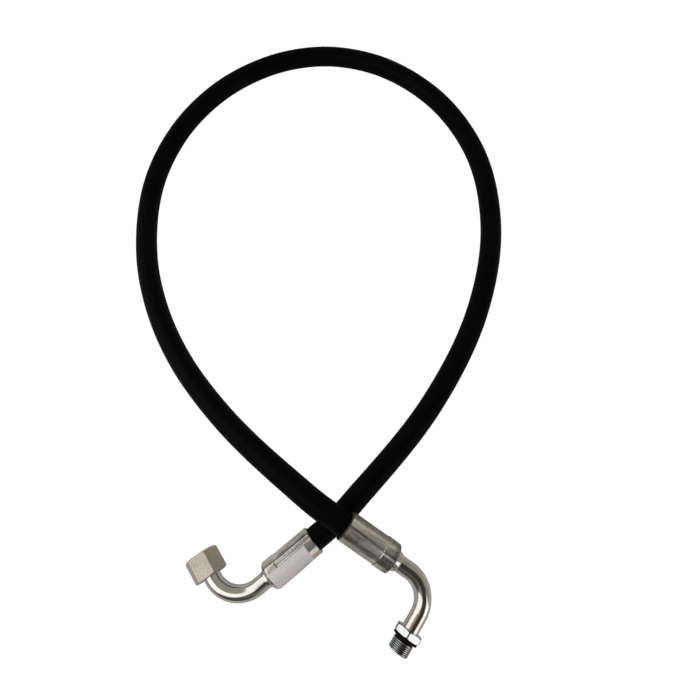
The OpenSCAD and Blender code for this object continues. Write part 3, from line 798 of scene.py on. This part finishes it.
def build_end(prefix, end, ferrule_material):
    """Ferrule, hose tail and elbow tube of one end. Gives the ferrule."""
    def bend_axis(_):
        return Vector((1, 0, 0))

    at = end_frame(end)
    ferrule = ring_mesh(prefix + "_ferrule", ferrule_rows(end), FERRULE_SIDES)
    tail = ring_mesh(prefix + "_tail", tail_rows(end), SIDES)
    tube = tube_mesh(prefix + "_tube", elbow_path(end), bend_axis,
                     TUBE_R * MM, TUBE_BORE_R * MM, SIDES)
    crimped = finish_piece(prefix + "_ferrule_crimped", ferrule, at, ROOT, ferrule_material,
                           prefix + "_ferrule", sharp=28)
    finish_piece(prefix + "_tail_turned", tail, at, ROOT, TUBE_PLATING,
                 prefix + "_hose_tail", sharp=28)
    finish_piece(prefix + "_elbow_bent", tube, at, ROOT, TUBE_PLATING,
                 prefix + "_elbow_tube", sharp=40)
    return crimped


ferrules = [
    build_end("nut_end", NUT_END, PALE_FERRULE),
    build_end("stud_end", STUD_END, DULL_FERRULE),
]


# ---------------------------------------------------------------- hexagons, threads
def hexagon_rows(across_flats, turn, back, front, cut, front_cut):
    """From the back face up over the flats to the front face. A chamfer of 30 degrees
    cuts either face's corners off, from a cut inside them. The edges are turned."""
    corner = across_flats / math.sqrt(3)
    edge, lift = 0.12, 0.03

    def radius(angle):
        """Of the hexagon whose corners are at turn + 60 k."""
        off = (angle - turn) % 60.0 - 30.0
        return min(across_flats / 2 / math.cos(math.radians(off)), corner - edge)

    def face(z, amount):
        return lambda angle: (min(radius(angle), corner - amount) - 0.02, z)

    def chamfer(z, sign, amount):
        def row(angle):
            r = radius(angle)
            past_cut = max(0.0, (r - corner + amount) * CHAMFER_SLOPE)
            return (r, z + sign * past_cut + sign * lift)
        return row

    return [face(back, cut), chamfer(back, 1, cut),
            chamfer(front, -1, front_cut), face(front, front_cut)]


def thread_rows(start, end, outer_r, inner_r, fade):
    """A 60 degree thread between two heights and two radii. Over fade at both ends it
    runs out to the outer radius."""
    rows_per_turn = 12
    flank = 0.44        # its share of half a pitch
    count = max(2, round((end - start) / THREAD_PITCH * rows_per_turn))

    def row_at(z):
        def row(angle):
            phase = (z / THREAD_PITCH - angle / 360.0) % 1.0
            depth = kept_within((abs(phase - 0.5) * 2 - flank) / flank)
            share = kept_within(min(z - start, end - z) / fade + 0.02)
            return (outer_r - (outer_r - inner_r) * depth * share, z)
        return row

    return [row_at(start + (end - start) * k / count) for k in range(count + 1)]


# ---------------------------------------------------------------- the nut and its cone
def build_nut():
    """Hexagon and thread, and the pilot and the seat that turn on the cone."""
    back_r, pilot_r = 7.85, 9.38
    thread_r, thread_root_r, mouth_r = 10.2, 10.95, 11.1
    end = NUT_BACK + NUT_LEN
    seat = CONE_BACK - 0.3
    seat_end = seat + pilot_r - back_r
    pilot_end = seat_end + 3.0
    rows = [(back_r, NUT_BACK + 0.2), (back_r + 0.2, NUT_BACK)]
    rows += hexagon_rows(NUT_AF, NUT_TURN, NUT_BACK, end, 1.6, 2.4)
    rows += [(mouth_r, end), (thread_root_r, end - 0.1), (thread_root_r - 0.05, end - 0.15)]
    rows += reversed(thread_rows(pilot_end + 0.8, end - 0.4, thread_root_r, thread_r, 0.8))
    rows += [(pilot_r + 1.3, pilot_end + 0.6), (pilot_r + 0.9, pilot_end)]
    rows += [(pilot_r, pilot_end), (pilot_r, seat_end), (back_r, seat)]
    mesh = ring_mesh("swivel_nut", rows, HEX_SIDES, NUT_TURN)
    finish_piece("swivel_nut_threaded", mesh, outlet_frame(NUT_END), NUT, NUT_PLATING,
                 "swivel_nut", sharp=20)


def build_cone():
    """The 24 degree sealing cone on the elbow tube, with its O-ring in a groove."""
    back, start, tip = CONE_BACK, CONE_BACK + 4.8, CONE_BACK + 12.4
    big, bore, cone_slope = 9.3, 5.0, math.tan(math.radians(12))
    socket_end = back + 5.0
    groove, groove_r, groove_len, ring_r = start + 2.2, 6.3, 2.2, 1.0

    def cone(z):
        return big - (z - start) * cone_slope

    groove_end = groove + groove_len
    rows = [(SOCKET_R, back), (big - 1.4, back), (big, back + 1.4), (big, start)]
    rows += [(cone(groove), groove), (groove_r, groove)]
    rows += [(groove_r, groove_end), (cone(groove_end), groove_end)]
    rows += [(cone(tip - 0.6), tip - 0.6), (cone(tip) - 0.6, tip), (bore + 0.2, tip)]
    rows += [(bore, tip - 0.2), (bore, socket_end), (SOCKET_R, socket_end)]
    at = outlet_frame(NUT_END)
    finish_piece("sealing_cone_turned", ring_mesh("sealing_cone", rows, SIDES), at, ROOT,
                 TURNED_PLATING, "sealing_cone", sharp=25)
    middle = (groove_r + 0.05 + ring_r, groove + groove_len / 2)
    ring = arc(middle, ring_r, 0, 360, 16)[:-1]
    finish_piece("cone_o_ring_round", ring_mesh("cone_o_ring", ring, SIDES), at, ROOT,
                 SEAL_RUBBER, "cone_o_ring", sharp=0)


# ---------------------------------------------------------------- the stud and its seal
def build_stud():
    """Hexagon, neck and thread, and inside the journal, the bearing and half the groove
    of the retaining wire. The thread has a material of its own."""
    bearing_r, journal_r, bore_r, neck_r = 7.58, 6.28, 5.5, 8.2
    journal_z, journal_end = 44.3, 56.3
    wire_at, wire_z, wire_r = 7.54, 41.4, 0.85
    hex_end = STUD_BACK + STUD_HEX_H
    seal_end = hex_end + SEAL_H
    end = seal_end + THREAD_LEN
    rows = [(bearing_r + 0.3, STUD_BACK)]
    rows += hexagon_rows(STUD_AF, STUD_TURN, STUD_BACK, hex_end, STUD_CUT, STUD_CUT)
    rows += [(neck_r + 0.3, hex_end), (neck_r, hex_end + 0.05), (neck_r, seal_end + 1.6)]
    rows += thread_rows(seal_end + 1.7, end - 0.55, THREAD_CREST_R, THREAD_ROOT_R, 0.5)
    rows += [(8.05, end - 0.1), (7.9, end), (bore_r + 0.3, end), (bore_r, end - 0.3)]
    rows += [(bore_r, journal_end), (journal_r, journal_end), (journal_r, journal_z)]
    rows += [(bearing_r, journal_z), (bearing_r, wire_z + 0.8)]
    rows += arc((wire_at, wire_z), wire_r, 75, -75, 5)
    rows += [(bearing_r, wire_z - 0.8), (bearing_r, STUD_BACK + 0.3)]
    mesh = ring_mesh("stud_body", rows, HEX_SIDES, STUD_TURN)
    stud = finish_piece("stud_body_threaded", mesh, outlet_frame(STUD_END), STUD, STUD_PLATING,
                        "stud_body", sharp=20)
    stud.data.materials.append(THREAD_PLATING)
    for face in stud.data.polygons:
        x, y, z = face.center / MM
        if hex_end + 0.1 < z < end - 0.3 and math.hypot(x, y) > bearing_r + 0.02:
            face.material_index = 1


def build_seal():
    """The seal ring under the stud's hexagon."""
    bore_r, edge = 8.25, 0.55
    low = STUD_BACK + STUD_HEX_H
    high = low + SEAL_H
    rows = [(bore_r, low + 0.2), (bore_r + 0.2, low)]
    rows += arc((SEAL_R - edge, low + edge), edge, -90, 0, 5)
    rows += arc((SEAL_R - edge, high - edge), edge, 0, 90, 5)
    rows += [(bore_r + 0.2, high), (bore_r, high - 0.2)]
    mesh = ring_mesh("stud_seal_ring", rows, SIDES)
    finish_piece("stud_seal_ring_round", mesh, outlet_frame(STUD_END), STUD, SEAL_RUBBER,
                 "stud_seal_ring", sharp=40)


def dress_nodes():
    """Materials for the CAD nodes that are shown as they are."""
    for node, material in (
        ("swivel_spigot", TURNED_PLATING), ("swivel_o_ring", SEAL_RUBBER),
        ("swivel_backup_ring", BACKUP_PLASTIC), ("retaining_wire", TURNED_PLATING),
    ):
        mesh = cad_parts[node].data
        mesh.materials.clear()
        mesh.materials.append(material)


build_nut()
build_cone()
build_stud()
build_seal()
dress_nodes()


# ---------------------------------------------------------------- floor and light
def make_floor():
    """A pale floor that keeps a soft shadow: nearly white to the camera, and a little
    white in what is glossy."""
    half, to_camera, in_gloss = 6.0, 0.91, 0.12
    corners = [(-half, -half, 0), (half, -half, 0), (half, half, 0), (-half, half, 0)]
    mesh = bpy.data.meshes.new("floor")
    mesh.from_pydata(corners, [], [(0, 1, 2, 3)])
    floor = bpy.data.objects.new("floor", mesh)
    bpy.context.scene.collection.objects.link(floor)
    material = bpy.data.materials.new("floor")
    material.use_nodes = True
    material.node_tree.nodes.clear()
    nodes = Nodes(material.node_tree)
    ray = nodes.add("ShaderNodeLightPath").outputs
    share = nodes.highest(nodes.times(ray["Is Camera Ray"], to_camera),
                          nodes.times(ray["Is Glossy Ray"], in_gloss))
    pale = nodes.add("ShaderNodeBsdfDiffuse", {"Color": (0.5, 0.49, 0.48, 1)})
    white = nodes.add("ShaderNodeEmission", {"Color": (1, 1, 1, 1), "Strength": 1.1})
    shown = nodes.mixed(share, pale, white)
    nodes.add("ShaderNodeOutputMaterial", {"Surface": shown.outputs[0]})
    mesh.materials.append(material)


def make_world():
    """A warm grey room, darker above and in front, an even fill for what isn't glossy,
    and white to the camera."""
    room, room_above, front_share = 0.34, 0.045, 0.24
    world = bpy.context.scene.world or bpy.data.worlds.new("world")
    bpy.context.scene.world = world
    world.use_nodes = True
    world.node_tree.nodes.clear()
    nodes = Nodes(world.node_tree)
    ray = nodes.add("ShaderNodeLightPath").outputs
    way = nodes.add("ShaderNodeTexCoord").outputs["Generated"]

    def lobe(azimuth, height, inner, outer):
        """1 within inner degrees of a direction, 0 beyond outer degrees."""
        a, h = math.radians(azimuth), math.radians(height)
        centre = (math.cos(h) * math.cos(a), math.cos(h) * math.sin(a), math.sin(h))
        near = nodes.add("ShaderNodeVectorMath", {0: way, 1: centre}, operation="DOT_PRODUCT")
        return nodes.range(
            near.outputs["Value"], math.cos(math.radians(outer)), math.cos(math.radians(inner)),
            0.0, 1.0, interpolation_type="SMOOTHSTEP")

    def background(colour, strength):
        return nodes.add("ShaderNodeBackground", {"Color": (*colour, 1), "Strength": strength})

    above = lobe(azimuth=318, height=59, inner=20, outer=40)
    front = lobe(azimuth=252, height=16, inner=18, outer=40)
    glossy = background((1.0, 0.93, 0.84), nodes.times(
        nodes.range(above, 0.0, 1.0, room, room_above),
        nodes.range(front, 0.0, 1.0, 1.0, front_share)))
    fill = background((1, 0.99, 0.98), 0.5)
    white = background((1, 1, 1), 1.0)
    lit = nodes.mixed(ray["Is Diffuse Ray"], glossy, fill)
    shown = nodes.mixed(ray["Is Camera Ray"], lit, white)
    nodes.add("ShaderNodeOutputWorld", {"Surface": shown.outputs[0]})


def add_softbox(name, at, aim, size, power, roll=0.0):
    """A rectangular lamp that faces a point and that the camera doesn't see."""
    data = bpy.data.lights.new(name, "AREA")
    data.energy = power
    data.shape = "RECTANGLE"
    data.size, data.size_y = size
    lamp = bpy.data.objects.new(name, data)
    turn = (Vector(aim) - Vector(at)).to_track_quat("-Z", "Y").to_matrix().to_4x4()
    rolled = turn @ Matrix.Rotation(math.radians(roll), 4, "Z")
    lamp.matrix_world = Matrix.Translation(at) @ rolled
    lamp.visible_camera = False
    bpy.context.scene.collection.objects.link(lamp)


make_floor()
make_world()
add_softbox("softbox_left", at=(-0.69, 0.08, 0.547), aim=(-0.532, 0.08, 0.0725),
            size=(1.3, 0.86), power=3.7, roll=25.0)
add_softbox("softbox_right", at=(1.0, -0.87, 0.52), aim=(0.09, -0.03, 0.42),
            size=(0.72, 0.98), power=2.7)

bpy.context.scene.view_settings.view_transform = "Standard"
